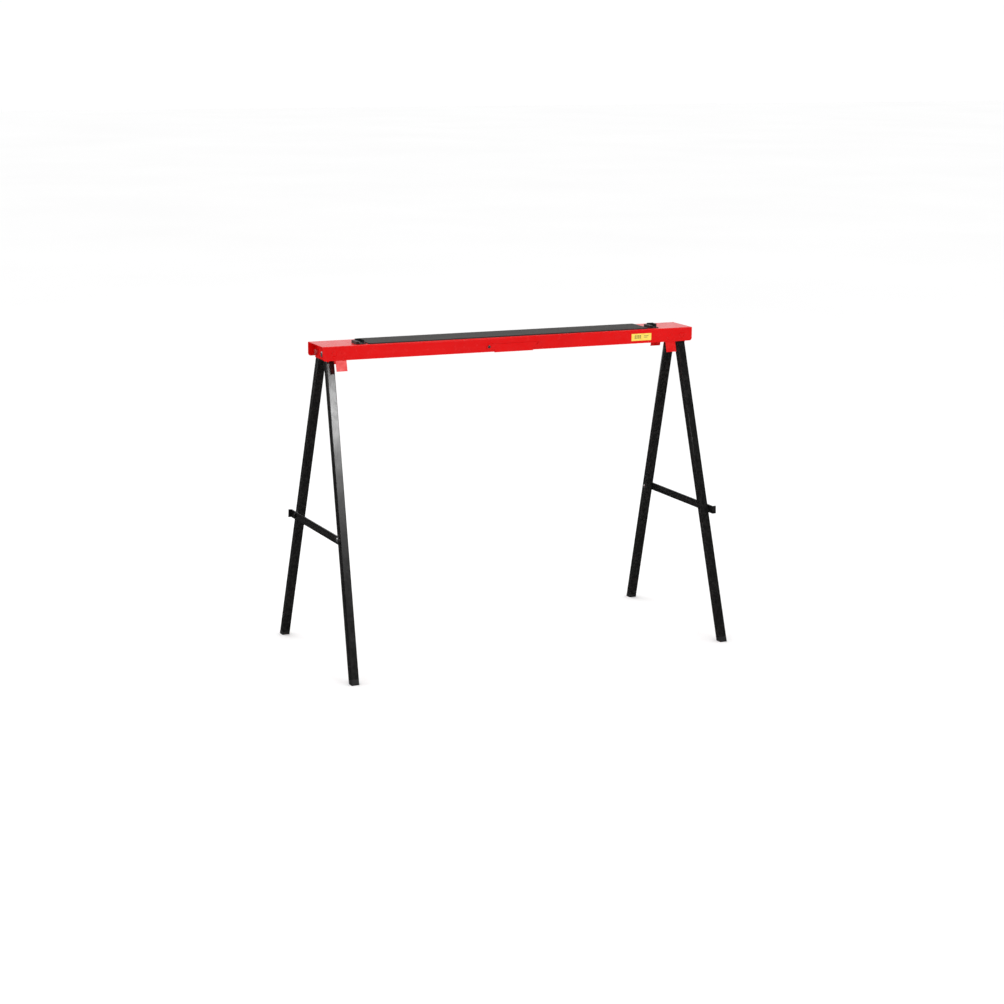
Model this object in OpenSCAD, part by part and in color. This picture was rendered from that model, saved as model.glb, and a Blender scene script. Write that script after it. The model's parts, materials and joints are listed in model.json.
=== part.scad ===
// Folding steel sawhorse: a channel-section beam on two pairs of square-tube legs.
// Each pair hangs from a cross bracket that hinges under one end of the beam. The legs of a
// pair spread on bolts through that bracket, and a hooked brace holds them apart. Folded, the
// four legs lie side by side in the channel. Origin: on the floor under the beam's centre.

/* [Beam] */
// Length of the beam
beam_l = 1015; // [950:5:1300]
// Width over the flanges
beam_w = 105; // [103:1:130]
// Depth of the flanges below the top surface
beam_h = 35; // [34:1:50]
// Thickness of the beam's sheet steel
beam_t = 1.5; // [1:0.1:2]
// Outside radius of the beam's long bends
bend_r = 3.5; // [2.5:0.5:6]
// Radius of the corners at the flange ends
flange_corner_r = 7; // [2:1:12]
// Height of the beam's top surface above the floor
stand_h = 790; // [600:5:810]

/* [Legs] */
// Outside width of the square leg tube
leg_w = 20; // [15:0.5:20.5]
// Wall thickness of the leg tube
leg_t = 1.2; // [0.8:0.1:2]
// Outside corner radius of the leg tube
leg_corner_r = 1.5; // [1.4:0.1:3]
// Distance from the centreline to each foot, across the beam
foot_y = 251.5; // [150:0.5:320]
// Lean of the legs towards the beam's ends, in degrees
lean = 2.15; // [0:0.1:5]
// Sideways place of the pair's inner leg at its bolt
inner_y = 11.5; // [11:0.1:14]
// Sideways place of the pair's outer leg at its bolt
outer_y = 34.3; // [33:0.1:36]
// Leg tube above its bolt
leg_top = 12; // [9:0.5:13]
// Part of the foot plug seen below the tube
foot_visible = 11; // [8:1:20]
// Part of the foot plug inside the tube
foot_plug = 16; // [10:1:30]

/* [Cross bracket] */
// Distance of the fold hinge from the beam's end
hinge_inset = 29.5; // [24:0.5:40]
// Distance of the fold hinge below the beam's top surface
hinge_drop = 19; // [18.5:0.5:24]
// Thickness of the bracket's plate
bracket_t = 2; // [1.5:0.5:3]
// Bracket plate below the fold hinge
bracket_low = 20; // [16:1:24]
// Radius of the bracket's ears
ear_r = 8; // [7:0.5:8.5]
// Gap between an ear and the flange
ear_gap = 0.5; // [0.3:0.1:1]
// Distance of the leg bolts below the fold hinge
bolt_drop = 5; // [3:0.5:7]
// Radius of a leg bolt
bolt_r = 4; // [3:0.5:4]
// Radius of a hinge rivet
rivet_r = 4; // [3:0.5:4]

/* [Brace] */
// Distance of the brace below the fold hinge
brace_drop = 439; // [300:1:480]
// Width of the brace's flat bar
brace_w = 20; // [16:1:24]
// Thickness of the brace's flat bar
brace_t = 3; // [2:0.5:3.5]
// Bar beyond the hook stud
brace_tail = 31; // [20:1:40]
// Length of the bent finger tab at the brace's end
finger_tab = 7; // [4:1:12]
// Radius of the brace's pivot rivet
pin_r = 3; // [2.5:0.25:4]
// Radius of the hook stud
stud_r = 3.2; // [2.5:0.1:4]

/* [Beam fittings] */
// Length of the anti-slip mat
mat_l = 770; // [500:5:780]
// Width of the anti-slip mat
mat_w = 90; // [60:1:96]
// Thickness of the anti-slip mat
mat_t = 2.5; // [1.5:0.5:5]
// Gap between the mat's end and its clip
clip_gap = 6; // [1:0.5:12]
// Length of a mat clip along the beam
clip_l = 25; // [20:1:40]
// Width of a mat clip across the beam
clip_w = 34; // [16:1:50]
// Distance of a mat clip's middle in front of the beam's centreline
clip_front = 23; // [0:1:30]
// Height of a mat clip's back wall
clip_h = 10; // [6:0.5:14]
// Width of a guide tab
tab_w = 28; // [20:1:40]
// Reach of a guide tab below the flange
tab_low = 26; // [15:1:30]
// Thickness of a guide tab
tab_t = 1.5; // [1:0.1:1.5]
// Offset of a guide tab from the fold hinge, on the inner leg's side
tab_inner_x = 4; // [2:0.5:12]
// Offset of a guide tab from the fold hinge, on the outer leg's side
tab_outer_x = 18.5; // [16:0.5:24]
// Length of the carry grip
grip_l = 150; // [120:5:200]
// Height of the carry grip on the flange
grip_h = 21; // [16:1:24]
// Thickness of the carry grip's sheet
grip_t = 1.5; // [1:0.1:2]
// Length of the plain label
label_l = 57; // [30:1:80]
// Height of the plain label
label_h = 18; // [10:1:22]
// Distance from the beam's centre to the label's centre
label_x = 360; // [150:1:400]

/* [Fits] */
// Radial clearance of a turning fit
run_gap = 0.05; // [0.02:0.01:0.1]
// Gap between faces that slide past each other
slide_gap = 0.5; // [0.3:0.1:1]
// Gap between the brace and the legs
brace_gap = 1; // [0.8:0.1:1.5]

/* [Hidden] */
$fn = 32;
eps = 0.01;

// Fold hinge
hinge_x = beam_l / 2 - hinge_inset;
hinge_z = stand_h - hinge_drop;
flange_in = beam_w / 2 - beam_t;
flange_z = stand_h - beam_h;

// Legs: the angles that bring each foot's centre to foot_y on the floor
bolt_z = hinge_z - bolt_drop * cos(lean);
inner_splay = atan((foot_y - inner_y) * cos(lean) / bolt_z);
outer_splay = atan((foot_y - outer_y) * cos(lean) / bolt_z);
inner_len = bolt_z / (cos(inner_splay) * cos(lean));
outer_len = bolt_z / (cos(outer_splay) * cos(lean));

// Cross bracket: its plate lies against the legs' outboard faces
plate_in = leg_w / 2 + slide_gap;
plate_out = plate_in + bracket_t;
plate_half = flange_in - 5;
plate_top = hinge_drop - beam_t - 1;
ear_out = flange_in - ear_gap;
nut_t = 5;
bolt_head_t = 5.3;
hex_r = 7.5;

// Brace: both ends at the same depth in the pair's plane
brace_reach = brace_drop - bolt_drop;
pivot_r = brace_reach / cos(inner_splay);
stud_dist = brace_reach / cos(outer_splay);
pivot_y = inner_y + brace_reach * tan(inner_splay);
stud_y = outer_y + brace_reach * tan(outer_splay);
brace_in = leg_w / 2 + brace_gap;
brace_out = brace_in + brace_t;
notch_r = stud_r + 0.4;
notch_open = brace_w * tan(32);
head_t = 2.5;
head_gap = 0.4;
spacer_t = brace_gap - 0.1;

// Guide tabs follow the splay of the outer leg
tab_flare = 16;
tab_up = 23;
tab_clear_x = ear_r + 1.5;

// ---------- frames ----------

// Left end: origin on the fold hinge, leaning with the legs, +X inboard
module end_frame() {
  translate([-hinge_x, 0, hinge_z]) rotate([0, lean, 0]) children();
}

// Leg: origin on the leg's bolt, -Z down the tube. row is -1 at the front, 1 at the back
module leg_frame(row, y, splay) {
  end_frame() translate([0, row * y, -bolt_drop]) rotate([row * splay, 0, 0]) children();
}

// The right end is the left end turned half round
module right_end() {
  rotate([0, 0, 180]) children();
}

// Cylinder along +X from x = 0
module xrod(r, l) {
  rotate([0, 90, 0]) cylinder(r = r, h = l);
}

// Cylinder along +Y from y = 0
module yrod(r, l) {
  rotate([-90, 0, 0]) cylinder(r = r, h = l);
}

// Hexagonal prism along +X from x = 0
module xhex(r, l) {
  rotate([0, 90, 0]) cylinder(r = r, h = l, $fn = 6);
}

// Square with round corners
module round_square(w, r) {
  square([w - 2 * r, w], center = true);
  square([w, w - 2 * r], center = true);
  for (x = [-1, 1], y = [-1, 1]) translate([x * (w / 2 - r), y * (w / 2 - r)]) circle(r);
}

// Rectangle with round ends, centred
module stadium(l, w) {
  square([l - w, w], center = true);
  for (x = [-1, 1]) translate([x * (l - w) / 2, 0]) circle(w / 2);
}

// ---------- beam and its fittings ----------

// Channel outline of a given width, with its top at z = 0
module channel_outline(w, h, r) {
  translate([-w / 2, -h]) square([w, h - r]);
  translate([-w / 2 + r, -r - eps]) square([w - 2 * r, r + eps]);
  for (y = [-1, 1]) translate([y * (w / 2 - r), -r]) circle(r);
}

// Waste outside the rounded lower corner of the flange at +X
module flange_corner_cut() {
  r = flange_corner_r;
  translate([beam_l / 2 - r, 0, flange_z + r]) difference() {
    translate([0, -beam_w, -r - 1]) cube([r + 1, 2 * beam_w, r + 1]);
    translate([0, -beam_w - 1, 0]) yrod(r, 2 * beam_w + 2);
  }
}

module beam() {
  color("red") difference() {
    translate([-beam_l / 2, 0, stand_h]) rotate([90, 0, 90]) linear_extrude(beam_l) difference() {
      channel_outline(beam_w, beam_h, bend_r);
      translate([0, -beam_t]) channel_outline(beam_w - 2 * beam_t, beam_h, bend_r - beam_t);
    }
    for (a = [0, 180]) rotate([0, 0, a]) flange_corner_cut();
    for (x = [-1, 1]) translate([x * hinge_x, -beam_w, hinge_z]) yrod(rivet_r + run_gap, 2 * beam_w);
    translate([grip_rivet_x, -beam_w, grip_z]) yrod(grip_rivet_r + run_gap, beam_w);
    translate([grip_hook_x - 1, -beam_w, grip_z - 5]) cube([3, beam_w, 10]);
    for (x = [-1, 1]) translate([x * clip_x + screw_off, -clip_front, stand_h - 10])
      cylinder(r = screw_r + run_gap, h = 20);
  }
}

module anti_slip_mat() {
  color("dimgray") translate([0, 0, stand_h]) linear_extrude(mat_t) {
    square([mat_l, mat_w - 8], center = true);
    square([mat_l - 8, mat_w], center = true);
    for (x = [-1, 1], y = [-1, 1]) translate([x * (mat_l / 2 - 4), y * (mat_w / 2 - 4)]) circle(4);
  }
}

// Clip: a base, a low block, a back wall and an end wall round the screw
clip_x = mat_l / 2 + clip_gap + clip_l / 2;
clip_base_t = 2;
clip_block_l = 9;
clip_block_h = 7;
clip_wall = 3;
screw_off = 1.5;
screw_r = 2;
screw_head_r = 4.2;

module mat_clip(x) {
  color("black") difference() {
    translate([x - clip_l / 2, -clip_front - clip_w / 2, stand_h]) {
      cube([clip_l, clip_w, clip_base_t]);
      cube([clip_block_l, clip_w, clip_block_h]);
      translate([clip_block_l - 1, clip_w - clip_wall, 0])
        cube([clip_l - clip_block_l + 1, clip_wall, clip_h]);
      translate([clip_l - clip_wall, clip_w / 3, 0]) cube([clip_wall, clip_w * 2 / 3, clip_h]);
    }
    translate([x + screw_off, -clip_front, stand_h - 1]) cylinder(r = screw_r + run_gap, h = clip_base_t + 2);
  }
}

module left_mat_clip() mat_clip(-clip_x);
module right_mat_clip() mat_clip(clip_x);

module clip_screws() {
  color("silver") for (x = [-1, 1]) translate([x * clip_x + screw_off, -clip_front, stand_h + clip_base_t]) {
    translate([0, 0, -7]) cylinder(r = screw_r, h = 7 + eps);
    cylinder(r1 = screw_head_r, r2 = screw_head_r - 1.2, h = 2.6);
  }
}

// Carry grip: a plate on the front flange, with a lip under the flange's edge
grip_top = flange_z - grip_t + grip_h;
grip_z = grip_top - 6.5;
grip_rivet_x = -grip_l / 2 + 7;
grip_hook_x = grip_l / 2 - 9;
grip_lip_l = grip_l - 44;
grip_end_r = 7;
grip_rivet_r = 2.5;

module carry_grip() {
  color("red") difference() {
    union() {
      translate([0, -beam_w / 2, grip_top]) rotate([90, 0, 0]) linear_extrude(grip_t) {
        translate([-grip_l / 2 + grip_end_r, -2 * grip_end_r])
          square([grip_l - 2 * grip_end_r, 2 * grip_end_r]);
        for (x = [-1, 1]) translate([x * (grip_l / 2 - grip_end_r), -grip_end_r]) circle(grip_end_r);
        translate([-grip_lip_l / 2, -grip_h]) square([grip_lip_l, grip_h - 2]);
      }
      translate([-grip_lip_l / 2, -beam_w / 2 - grip_t, flange_z - grip_t])
        cube([grip_lip_l, grip_t + beam_t + 1, grip_t]);
      translate([grip_hook_x, -beam_w / 2 - grip_t - 1.2, grip_z - 4]) cube([1.2, grip_t + beam_t + 2.2, 8]);
    }
    translate([grip_rivet_x, -beam_w, grip_z]) yrod(grip_rivet_r + run_gap, beam_w);
  }
}

module grip_rivet() {
  color("silver") translate([grip_rivet_x, -beam_w / 2, grip_z]) {
    translate([0, -grip_t - eps, 0]) yrod(grip_rivet_r, grip_t + beam_t + 2 * eps);
    translate([0, beam_t, 0]) yrod(grip_rivet_r + 1.2, 1.2);
    translate([0, -grip_t, 0]) rotate([90, 0, 0]) cylinder(r1 = 4.2, r2 = 2.8, h = 1.8);
  }
}

module label() {
  color("yellow") translate([label_x, -beam_w / 2, hinge_z]) rotate([90, 0, 0]) linear_extrude(0.3)
    square([label_l, label_h], center = true);
}

// Rivets of the fold hinges, through the flanges and the brackets' ears
module hinge_rivet() {
  y_in = ear_out - bracket_t - 0.2;
  translate([-hinge_x, y_in - eps, hinge_z]) yrod(rivet_r, beam_w / 2 - y_in + 2 * eps);
  translate([-hinge_x, y_in - 1.8, hinge_z]) yrod(rivet_r + 2.5, 1.8);
  translate([-hinge_x, beam_w / 2, hinge_z]) rotate([-90, 0, 0])
    cylinder(r1 = rivet_r + 3, r2 = rivet_r, h = 2);
}

module hinge_rivets() {
  color("red") for (a = [0, 180]) rotate([0, 0, a]) {
    hinge_rivet();
    mirror([0, 1, 0]) hinge_rivet();
  }
}

// Guide tab at the left end's back flange: flat inside the flange, flared below it
module guide_tab(x_off) {
  x0 = max(x_off, tab_clear_x);
  out = tab_low * tan(tab_flare);
  color("red") {
    translate([-hinge_x + x0, flange_in - tab_t, flange_z - eps]) cube([x_off + tab_w - x0, tab_t, tab_up]);
    translate([-hinge_x + x_off, flange_in, flange_z]) rotate([90, 0, 90]) linear_extrude(tab_w)
      polygon([[-tab_t, 0], [0, 0], [out, -tab_low], [out - tab_t, -tab_low]]);
  }
}

module left_front_guide_tab() mirror([0, 1, 0]) guide_tab(tab_inner_x);
module left_back_guide_tab() guide_tab(tab_outer_x);
module right_back_guide_tab() right_end() left_front_guide_tab();
module right_front_guide_tab() right_end() left_back_guide_tab();

// ---------- cross bracket ----------

module bracket() {
  color("red") difference() {
    union() {
      translate([-plate_out, -plate_half, -bracket_low])
        cube([bracket_t, 2 * plate_half, bracket_low + plate_top]);
      translate([-plate_out, -ear_out, -ear_r]) cube([bracket_t, 2 * ear_out, 2 * ear_r]);
      for (a = [0, 1]) mirror([0, a, 0]) {
        translate([0, ear_out - bracket_t, 0]) yrod(ear_r, bracket_t);
        translate([-plate_out, ear_out - bracket_t, -ear_r]) cube([plate_out, bracket_t, 2 * ear_r]);
      }
    }
    translate([0, -beam_w, 0]) yrod(rivet_r + run_gap, 2 * beam_w);
    for (y = [-inner_y, outer_y]) translate([-plate_out - 1, y, -bolt_drop])
      xrod(bolt_r + run_gap, bracket_t + 2);
  }
}

module leg_bolts() {
  color("silver") for (y = [-inner_y, outer_y]) translate([-plate_out, y, -bolt_drop]) {
    translate([-bolt_head_t, 0, 0]) xhex(hex_r, bolt_head_t);
    translate([-eps, 0, 0]) xrod(bolt_r, plate_out + plate_in + nut_t + 1);
  }
}

module leg_nuts() {
  color("silver") for (y = [-inner_y, outer_y]) translate([plate_in, y, -bolt_drop]) difference() {
    xhex(hex_r, nut_t);
    translate([-1, 0, 0]) xrod(bolt_r + run_gap, nut_t + 2);
  }
}

module left_bracket() end_frame() bracket();
module left_leg_bolts() end_frame() leg_bolts();
module left_leg_nuts() end_frame() leg_nuts();
module right_bracket() right_end() left_bracket();
module right_leg_bolts() right_end() left_leg_bolts();
module right_leg_nuts() right_end() left_leg_nuts();

// ---------- legs and feet ----------

// Tube with its bolt holes and one cross hole for the brace's rivet or stud
module leg_tube(len, pin_dist, hole_r) {
  color("black") difference() {
    translate([0, 0, -len + foot_visible]) linear_extrude(len - foot_visible + leg_top) difference() {
      round_square(leg_w, leg_corner_r);
      round_square(leg_w - 2 * leg_t, leg_corner_r - leg_t);
    }
    translate([-leg_w, 0, 0]) xrod(bolt_r + run_gap, 2 * leg_w);
    translate([-leg_w, 0, -pin_dist]) xrod(hole_r + run_gap, 2 * leg_w);
  }
}

// Foot plug, cut level with the floor
module foot_solid(len) {
  translate([0, 0, -len - leg_w]) linear_extrude(leg_w + foot_visible) round_square(leg_w, leg_corner_r);
  translate([0, 0, -len + foot_visible - eps]) linear_extrude(foot_plug)
    round_square(leg_w - 2 * leg_t - 0.2, leg_corner_r - leg_t);
}

module floor_waste() {
  translate([-beam_l, -beam_l, -200]) cube([2 * beam_l, 2 * beam_l, 200]);
}

module left_front_leg() leg_frame(-1, inner_y, inner_splay) leg_tube(inner_len, pivot_r, pin_r);
module left_back_leg() leg_frame(1, outer_y, outer_splay) leg_tube(outer_len, stud_dist, stud_r);
module right_back_leg() right_end() left_front_leg();
module right_front_leg() right_end() left_back_leg();

module left_front_foot() color("black") difference() {
  leg_frame(-1, inner_y, inner_splay) foot_solid(inner_len);
  floor_waste();
}

module left_back_foot() color("black") difference() {
  leg_frame(1, outer_y, outer_splay) foot_solid(outer_len);
  floor_waste();
}

module right_back_foot() right_end() left_front_foot();
module right_front_foot() right_end() left_back_foot();

// ---------- brace ----------

// Outline in the pair's plane: x along the bar from its pivot, y up
module brace_outline() {
  span = pivot_y + stud_y;
  difference() {
    union() {
      circle(brace_w / 2);
      translate([0, -brace_w / 2]) square([span + brace_tail, brace_w]);
    }
    circle(pin_r + run_gap);
    translate([span, 0]) {
      circle(notch_r);
      polygon([[-notch_r, 0], [notch_r, 0], [notch_r, -brace_w], [-notch_r - notch_open, -brace_w]]);
    }
  }
}

module brace() {
  color("black") {
    translate([-brace_out, -pivot_y, -brace_drop]) rotate([90, 0, 90])
      linear_extrude(brace_t) brace_outline();
    translate([-brace_out - finger_tab, stud_y + brace_tail - brace_t, -brace_drop - brace_w / 2])
      cube([finger_tab + eps, brace_t, brace_w]);
  }
}

// Rivet through the inner leg, which the brace turns on
module brace_rivet() {
  color("silver") translate([0, 0, -pivot_r]) {
    head_x = brace_out + head_gap;
    translate([-head_x - eps, 0, 0]) xrod(pin_r, head_x + leg_w / 2 + 2 * eps);
    translate([-head_x, 0, 0]) rotate([0, -90, 0]) cylinder(r1 = pin_r + 3.5, r2 = pin_r + 1, h = 2);
    translate([leg_w / 2, 0, 0]) rotate([0, 90, 0]) cylinder(r1 = pin_r + 2.5, r2 = pin_r + 0.5, h = 2);
    translate([-leg_w / 2 - spacer_t, 0, 0]) xrod(pin_r + 3.5, spacer_t);
  }
}

// Shouldered stud on the outer leg, which the brace hooks over
module hook_stud() {
  color("black") translate([0, 0, -stud_dist]) {
    head_x = brace_out + head_gap;
    translate([-head_x - eps, 0, 0]) xrod(stud_r, head_x - leg_w / 2 + leg_t + 2 * eps);
    translate([-head_x - head_t, 0, 0]) xrod(stud_r + 2, head_t);
    translate([-leg_w / 2 - spacer_t, 0, 0]) xrod(stud_r + 2, spacer_t);
    translate([-leg_w / 2 + leg_t, 0, 0]) xrod(stud_r + 1, 1);
  }
}

module left_brace() end_frame() brace();
module left_brace_rivet() leg_frame(-1, inner_y, inner_splay) brace_rivet();
module left_hook_stud() leg_frame(1, outer_y, outer_splay) hook_stud();
module right_brace() right_end() left_brace();
module right_brace_rivet() right_end() left_brace_rivet();
module right_hook_stud() right_end() left_hook_stud();

// ---------- nodes ----------

beam();
anti_slip_mat();
left_mat_clip();
right_mat_clip();
clip_screws();
carry_grip();
grip_rivet();
label();
hinge_rivets();
left_front_guide_tab();
left_back_guide_tab();
right_front_guide_tab();
right_back_guide_tab();
left_bracket();
left_leg_bolts();
left_leg_nuts();
left_front_leg();
left_front_foot();
left_back_leg();
left_back_foot();
left_brace();
left_brace_rivet();
left_hook_stud();
right_bracket();
right_leg_bolts();
right_leg_nuts();
right_back_leg();
right_back_foot();
right_front_leg();
right_front_foot();
right_brace();
right_brace_rivet();
right_hook_stud();
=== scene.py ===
"""A folding steel sawhorse, standing open on a plain floor in soft studio light."""

import json
import math

import bmesh
import bpy
from mathutils import Matrix, Vector


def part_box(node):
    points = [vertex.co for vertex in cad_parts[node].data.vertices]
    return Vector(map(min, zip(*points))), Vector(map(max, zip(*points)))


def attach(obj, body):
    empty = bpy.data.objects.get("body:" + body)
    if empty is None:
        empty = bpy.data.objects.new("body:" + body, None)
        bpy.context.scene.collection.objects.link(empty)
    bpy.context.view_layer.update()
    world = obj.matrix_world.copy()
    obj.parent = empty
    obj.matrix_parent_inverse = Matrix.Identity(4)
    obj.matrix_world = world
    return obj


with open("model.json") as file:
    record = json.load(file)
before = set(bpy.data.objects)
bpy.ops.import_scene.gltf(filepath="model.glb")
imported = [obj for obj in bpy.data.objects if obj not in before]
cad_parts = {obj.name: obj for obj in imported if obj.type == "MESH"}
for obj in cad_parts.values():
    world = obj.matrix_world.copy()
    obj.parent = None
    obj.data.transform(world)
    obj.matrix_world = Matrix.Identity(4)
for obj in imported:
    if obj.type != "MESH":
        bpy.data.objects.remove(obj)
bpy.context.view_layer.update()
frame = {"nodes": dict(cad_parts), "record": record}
nodes = frame["nodes"]


def box_centre(node):
    low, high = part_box(node)
    return (low + high) / 2


# ---------- camera ----------

CAMERA_PLACE = (-2.421, -5.271, 1.596)
CAMERA_TURN = (77.946, 0.0, -24.626)
CAMERA_ROLL = 0.50
CAMERA_LENS = 83.18


def make_camera():
    data = bpy.data.cameras.new("camera")
    data.lens = CAMERA_LENS
    data.sensor_width = 36.0
    camera = bpy.data.objects.new("camera", data)
    bpy.context.scene.collection.objects.link(camera)
    turn = [math.radians(a) for a in CAMERA_TURN]
    rx, rz = Matrix.Rotation(turn[0], 4, "X"), Matrix.Rotation(turn[2], 4, "Z")
    roll = Matrix.Rotation(math.radians(CAMERA_ROLL), 4, "Z")
    camera.matrix_world = Matrix.Translation(CAMERA_PLACE) @ rz @ rx @ roll
    bpy.context.scene.camera = camera


make_camera()

# ---------- shader helpers ----------


class Shader:
    """A new material with its Principled shader, and short ways to add nodes."""

    def __init__(self, name):
        self.material = bpy.data.materials.new(name)
        self.material.use_nodes = True
        self.tree = self.material.node_tree
        self.bsdf = self.tree.nodes["Principled BSDF"]
        self.place = self.node("ShaderNodeTexCoord").outputs["Object"]

    def node(self, kind, **values):
        made = self.tree.nodes.new(kind)
        for name, value in values.items():
            setattr(made, name, value)
        return made

    def link(self, source, target):
        self.tree.links.new(source, target)

    def set(self, **values):
        for name, value in values.items():
            self.bsdf.inputs[name.replace("_", " ")].default_value = value

    def noise(self, scale, detail=3.0, stretch=None):
        """Noise from the object's own coordinates, drawn out along an axis by stretch."""
        texture = self.node("ShaderNodeTexNoise")
        texture.inputs["Scale"].default_value = scale
        texture.inputs["Detail"].default_value = detail
        place = self.place
        if stretch:
            mapping = self.node("ShaderNodeMapping")
            mapping.inputs["Scale"].default_value = stretch
            self.link(place, mapping.inputs["Vector"])
            place = mapping.outputs["Vector"]
        self.link(place, texture.inputs["Vector"])
        return texture.outputs["Fac"]

    def ramp(self, factor, first, last):
        """A colour between two stops, each a (place, colour) along a factor."""
        made = self.node("ShaderNodeValToRGB")
        for element, (place, colour) in zip(made.color_ramp.elements, (first, last)):
            element.position = place
            element.color = colour
        self.link(factor, made.inputs["Fac"])
        return made.outputs["Color"]

    def spread(self, factor, low, high, start=0.35, end=0.65):
        """A number that runs from low to high as the factor goes from start to end."""
        made = self.node("ShaderNodeMapRange")
        for name, value in zip(("From Min", "From Max", "To Min", "To Max"), (start, end, low, high)):
            made.inputs[name].default_value = value
        self.link(factor, made.inputs["Value"])
        return made.outputs["Result"]

    def bump(self, height, distance, strength):
        made = self.node("ShaderNodeBump")
        made.inputs["Distance"].default_value = distance
        made.inputs["Strength"].default_value = strength
        self.link(height, made.inputs["Height"])
        self.link(made.outputs["Normal"], self.bsdf.inputs["Normal"])

    def painted_edge_highlight(self, colour, highlight_colour, amount):
        """Mixes a lighter second colour in on convex edges as a painted highlight, broken up by noise.
        """
        geometry = self.node("ShaderNodeNewGeometry")
        sharp = self.spread(geometry.outputs["Pointiness"], 0.0, amount, 0.52, 0.60)
        patchy = self.spread(self.noise(160.0, 4.0), 0.0, 1.0, 0.45, 0.6)
        both = self.node("ShaderNodeMath", operation="MULTIPLY")
        self.link(sharp, both.inputs[0])
        self.link(patchy, both.inputs[1])
        mix = self.node("ShaderNodeMix", data_type="RGBA")
        self.link(both.outputs[0], mix.inputs["Factor"])
        self.link(colour, mix.inputs["A"])
        mix.inputs["B"].default_value = highlight_colour
        return mix.outputs["Result"]


# ---------- materials ----------


def red_paint():
    """Glossy powder coat: an even red with a faint orange-peel surface."""
    s = Shader("red_paint")
    tone = s.ramp(s.noise(9.0), (0.3, (0.66, 0.0005, 0.001, 1)), (0.7, (0.73, 0.0005, 0.001, 1)))
    # Painted highlight: a brighter red mixed in along convex edges.
    s.link(s.painted_edge_highlight(tone, (0.95, 0.05, 0.04, 1), 0.3), s.bsdf.inputs["Base Color"])
    s.link(s.spread(s.noise(60.0), 0.20, 0.28), s.bsdf.inputs["Roughness"])
    s.set(Coat_Weight=0.2, Coat_Roughness=0.3, Specular_IOR_Level=0.2)
    s.bump(s.noise(260.0, 2.0), 0.00002, 0.4)
    return s.material


def black_paint():
    """Semi-gloss black powder coat on the leg tubes and braces."""
    s = Shader("black_paint")
    tone = s.ramp(s.noise(14.0, 4.0), (0.3, (0.004, 0.004, 0.004, 1)), (0.7, (0.007, 0.0065, 0.0065, 1)))
    # Painted highlight: a lighter grey mixed in along convex edges.
    s.link(s.painted_edge_highlight(tone, (0.07, 0.065, 0.06, 1), 0.35), s.bsdf.inputs["Base Color"])
    s.link(s.spread(s.noise(45.0, 4.0), 0.22, 0.28), s.bsdf.inputs["Roughness"])
    s.set(Coat_Weight=0.3, Coat_Roughness=0.1, Specular_IOR_Level=0.5)
    s.bump(s.noise(350.0, 2.0), 0.00002, 0.4)
    return s.material


def mat_rubber():
    """Dark grey rubber sheet with a fine grain and dust."""
    s = Shader("mat_rubber")
    dust = s.noise(22.0, 6.0, (0.4, 1.6, 1.0))
    grain = s.noise(1400.0, 2.0)
    tone = s.ramp(dust, (0.3, (0.034, 0.031, 0.029, 1)), (0.75, (0.052, 0.047, 0.044, 1)))
    s.link(tone, s.bsdf.inputs["Base Color"])
    s.link(s.spread(grain, 0.55, 0.72), s.bsdf.inputs["Roughness"])
    s.set(Specular_IOR_Level=0.2)
    s.bump(grain, 0.00015, 0.7)
    return s.material


def black_plastic():
    """Moulded plastic with a spark-eroded grain."""
    s = Shader("black_plastic")
    grain = s.noise(900.0, 3.0)
    tone = s.ramp(s.noise(30.0), (0.3, (0.012, 0.012, 0.012, 1)), (0.7, (0.021, 0.02, 0.02, 1)))
    s.link(tone, s.bsdf.inputs["Base Color"])
    s.link(s.spread(grain, 0.38, 0.52), s.bsdf.inputs["Roughness"])
    s.bump(grain, 0.0001, 0.6)
    return s.material


def zinc():
    """Bright zinc plate, with faint drawing lines and cloudy tone."""
    s = Shader("zinc")
    tone = s.ramp(s.noise(180.0, 4.0), (0.3, (0.62, 0.62, 0.64, 1)), (0.7, (0.84, 0.84, 0.83, 1)))
    s.link(tone, s.bsdf.inputs["Base Color"])
    s.link(s.spread(s.noise(350.0, 4.0, (1.0, 6.0, 1.0)), 0.18, 0.38), s.bsdf.inputs["Roughness"])
    s.set(Metallic=1.0)
    s.bump(s.noise(900.0), 0.00003, 0.6)
    return s.material


def sticker(name, dark, light):
    """Printed vinyl, slightly uneven, under a clear film."""
    s = Shader(name)
    s.link(s.ramp(s.noise(90.0, 3.0), (0.3, dark), (0.7, light)), s.bsdf.inputs["Base Color"])
    s.link(s.spread(s.noise(300.0), 0.3, 0.42), s.bsdf.inputs["Roughness"])
    s.set(Coat_Weight=0.4, Coat_Roughness=0.1)
    s.bump(s.noise(250.0), 0.00004, 0.4)
    return s.material


MATERIALS = {
    "red_paint": red_paint(),
    "black_paint": black_paint(),
    "mat_rubber": mat_rubber(),
    "black_plastic": black_plastic(),
    "zinc": zinc(),
    "label_yellow": sticker("label_yellow", (0.90, 0.66, 0.08, 1), (0.98, 0.76, 0.13, 1)),
}
INK = sticker("label_ink", (0.05, 0.05, 0.035, 1), (0.13, 0.12, 0.07, 1))


def dress(obj, material):
    obj.data.materials.clear()
    obj.data.materials.append(material)


# Rounding of the CAD nodes' sharp edges
EDGE_WIDTH = 0.0003
EDGE_STEPS = 2
EDGE_ANGLE = 40
WELD_REACH = 1e-6
THIN_NODES = ("label", "anti_slip_mat")


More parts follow.
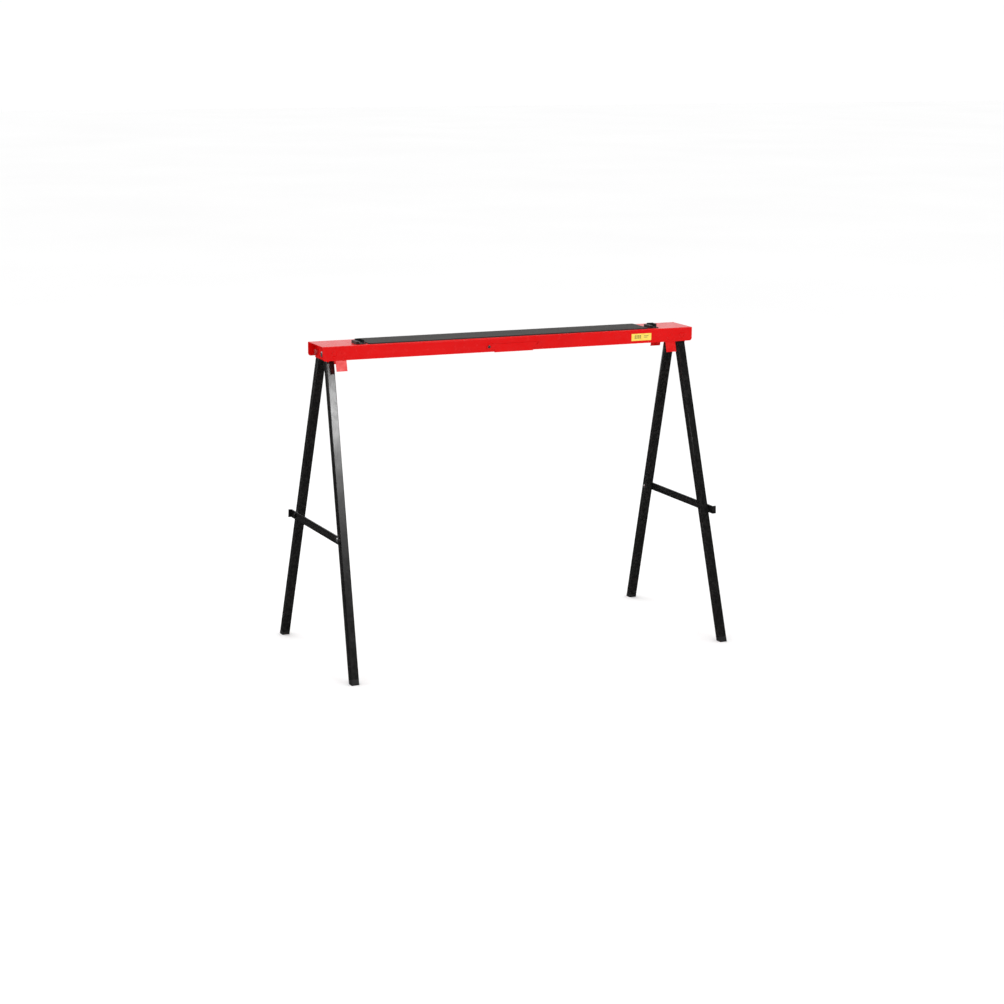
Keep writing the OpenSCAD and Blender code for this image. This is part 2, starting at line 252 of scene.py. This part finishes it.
def soften_edges(obj, width):
    """Rounds a CAD node's sharp edges a little, so that they catch the light."""
    weld = obj.modifiers.new("weld", "WELD")
    weld.merge_threshold = WELD_REACH
    bevel = obj.modifiers.new("bevel", "BEVEL")
    bevel.width = width
    bevel.segments = EDGE_STEPS
    bevel.limit_method = "ANGLE"
    bevel.angle_limit = math.radians(EDGE_ANGLE)


for row in frame["record"]["subparts"]:
    dress(nodes[row["node"]], MATERIALS[row["material_slot"]])

# ---------- detail pieces ----------


def piece(name, mesh, material_slot, body, material=None, smooth=True):
    """Adds a finished mesh as a piece of the object."""
    made = bpy.data.objects.new(name, mesh)
    bpy.context.scene.collection.objects.link(made)
    for face in mesh.polygons:
        face.use_smooth = smooth
    dress(made, material or MATERIALS[material_slot])
    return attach(made, body)


def lathe(profile, places, steps=40):
    """Turns an outline of (radius, height) about its own axis, once for each matrix in places."""
    bm = bmesh.new()
    for place in places:
        rings = []
        for radius, height in profile:
            if radius < 1e-7:
                rings.append([bm.verts.new(place @ Vector((0, 0, height)))])
                continue
            turns = [2 * math.pi * i / steps for i in range(steps)]
            ring = [place @ Vector((radius * math.cos(a), radius * math.sin(a), height)) for a in turns]
            rings.append([bm.verts.new(v) for v in ring])
        for lower, upper in zip(rings, rings[1:]):
            for i in range(steps):
                j = (i + 1) % steps
                a, b = lower[i % len(lower)], lower[j % len(lower)]
                c, d = upper[j % len(upper)], upper[i % len(upper)]
                corners = list(dict.fromkeys((a, b, c, d)))
                if len(corners) > 2:
                    bm.faces.new(corners)
    bmesh.ops.recalc_face_normals(bm, faces=bm.faces)
    mesh = bpy.data.meshes.new("lathe")
    bm.to_mesh(mesh)
    bm.free()
    return mesh


def facing(point, direction):
    """A matrix that puts the origin at a point, with Z along a direction."""
    turn = Vector(direction).to_track_quat("Z", "Y").to_matrix().to_4x4()
    return Matrix.Translation(point) @ turn


beam_low, beam_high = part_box("beam")
front_y = beam_low.y

# Weld marks above the guide tabs: places on the flange, from the tab's middle and the beam's top
WELD_R = 0.0042
WELD_RISE = 0.0005
WELD_OUTLINE = [
    (WELD_R, -0.0002), (WELD_R, 0.0), (WELD_R * 0.9, WELD_RISE * 0.7), (WELD_R * 0.72, WELD_RISE),
    (WELD_R * 0.5, WELD_RISE * 0.45), (WELD_R * 0.2, WELD_RISE * 0.1), (0.0, 0.0)]


def weld_marks():
    places = []
    for node, sign in (("left_front_guide_tab", -1), ("right_front_guide_tab", -1),
                       ("left_back_guide_tab", 1), ("right_back_guide_tab", 1)):
        middle = box_centre(node).x
        inboard = -1 if middle > 0 else 1
        for along, down in ((-0.0015, 0.0150), (0.0085, 0.0267)):
            spot = (middle + inboard * along, sign * -front_y, beam_high.z - down)
            places.append(facing(spot, (0, sign, 0)))
    return lathe(WELD_OUTLINE, places)


piece("weld_marks", weld_marks(), "red_paint", "beam")


PRINT_FILM = 0.00005


def print_bars():
    """Generic marks on the label: a block of short bars and a few thin rules, with no text."""
    low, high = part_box("label")
    width, height = high.x - low.x, high.z - low.z
    face = low.y - PRINT_FILM
    bars = []
    for row in range(3):
        for column in range(4):
            bars.append((0.16 + column * 0.085, 0.66 - row * 0.17, 0.06, 0.11))
    for row in range(2):
        bars.append((0.62, 0.62 - row * 0.2, 0.24 - row * 0.06, 0.07))
    bm = bmesh.new()
    for left, up, across, tall in bars:
        x0, z0 = low.x + left * width, low.z + up * height
        x1, z1 = x0 + across * width, z0 + tall * height
        corners = [(x0, z0), (x1, z0), (x1, z1), (x0, z1)]
        front = [bm.verts.new((x, face, z)) for x, z in corners]
        back = [bm.verts.new((x, low.y + PRINT_FILM, z)) for x, z in corners]
        bm.faces.new(front)
        bm.faces.new(reversed(back))
        for i in range(4):
            j = (i + 1) % 4
            bm.faces.new((front[i], back[i], back[j], front[j]))
    bmesh.ops.recalc_face_normals(bm, faces=bm.faces)
    mesh = bpy.data.meshes.new("label_print")
    bm.to_mesh(mesh)
    bm.free()
    return mesh


piece("label_print", print_bars(), "label_yellow", "beam", INK, smooth=False)

for name, node in nodes.items():
    if name not in THIN_NODES:
        soften_edges(node, EDGE_WIDTH)

# ---------- floor and light ----------


FLOOR_HALF = 30.0
FLOOR_DROP = 0.0005


def floor():
    """A plain pale floor that is dark only to mirror rays, so that glossy parts keep their depth."""
    bm = bmesh.new()
    bmesh.ops.create_grid(bm, x_segments=1, y_segments=1, size=FLOOR_HALF)
    mesh = bpy.data.meshes.new("floor")
    bm.to_mesh(mesh)
    bm.free()
    made = bpy.data.objects.new("floor", mesh)
    bpy.context.scene.collection.objects.link(made)
    made.location.z = -FLOOR_DROP
    s = Shader("floor_white")
    pale = s.ramp(s.noise(0.6), (0.3, (0.96, 0.96, 0.96, 1)), (0.7, (0.98, 0.98, 0.98, 1)))
    mix = s.node("ShaderNodeMix", data_type="RGBA")
    s.link(s.node("ShaderNodeLightPath").outputs["Is Glossy Ray"], mix.inputs["Factor"])
    s.link(pale, mix.inputs["A"])
    mix.inputs["B"].default_value = (0.03, 0.03, 0.03, 1)
    s.link(mix.outputs["Result"], s.bsdf.inputs["Base Color"])
    s.set(Roughness=0.9, Specular_IOR_Level=0.0)
    made.data.materials.append(s.material)


def area_light(name, place, target, size, power):
    data = bpy.data.lights.new(name, "AREA")
    data.shape = "RECTANGLE"
    data.size, data.size_y = size
    data.energy = power
    made = bpy.data.objects.new(name, data)
    bpy.context.scene.collection.objects.link(made)
    made.matrix_world = facing(place, Vector(place) - Vector(target))


def stage_node(tree, kind, **values):
    made = tree.nodes.new(kind)
    for name, value in values.items():
        setattr(made, name, value)
    return made


def world_light(strength, dark, bright):
    """An even white studio. Its reflection runs from dark in front of the object to bright behind it."""
    world = bpy.data.worlds.new("studio")
    bpy.context.scene.world = world
    world.use_nodes = True
    tree = world.node_tree
    place = stage_node(tree, "ShaderNodeTexCoord").outputs["Generated"]
    axes = stage_node(tree, "ShaderNodeSeparateXYZ")
    tree.links.new(place, axes.inputs[0])
    behind = stage_node(tree, "ShaderNodeMapRange", interpolation_type="SMOOTHSTEP")
    for name, value in zip(("From Min", "From Max", "To Min", "To Max"), (0.15, 0.55, dark, bright)):
        behind.inputs[name].default_value = value
    tree.links.new(axes.outputs["Y"], behind.inputs["Value"])
    ray = stage_node(tree, "ShaderNodeLightPath")
    pick = stage_node(tree, "ShaderNodeMix", data_type="FLOAT")
    tree.links.new(ray.outputs["Is Glossy Ray"], pick.inputs["Factor"])
    pick.inputs["A"].default_value = 1.0
    tree.links.new(behind.outputs["Result"], pick.inputs["B"])
    scaled = stage_node(tree, "ShaderNodeMath", operation="MULTIPLY")
    tree.links.new(pick.outputs["Result"], scaled.inputs[0])
    scaled.inputs[1].default_value = strength
    tree.links.new(scaled.outputs[0], tree.nodes["Background"].inputs["Strength"])
    tree.nodes["Background"].inputs["Color"].default_value = (1.0, 1.0, 1.0, 1)


bpy.context.scene.view_settings.view_transform = "Standard"
floor()
world_light(1.02, 0.005, 0.8)
area_light("key", (-0.5, 1.0, 4.5), (0.0, 0.0, 0.45), (2.5, 2.5), 35)
area_light("front_box", (0.9, -3.5, 2.16), (-0.5, 0.0, 0.7), (0.6, 0.26), 14)
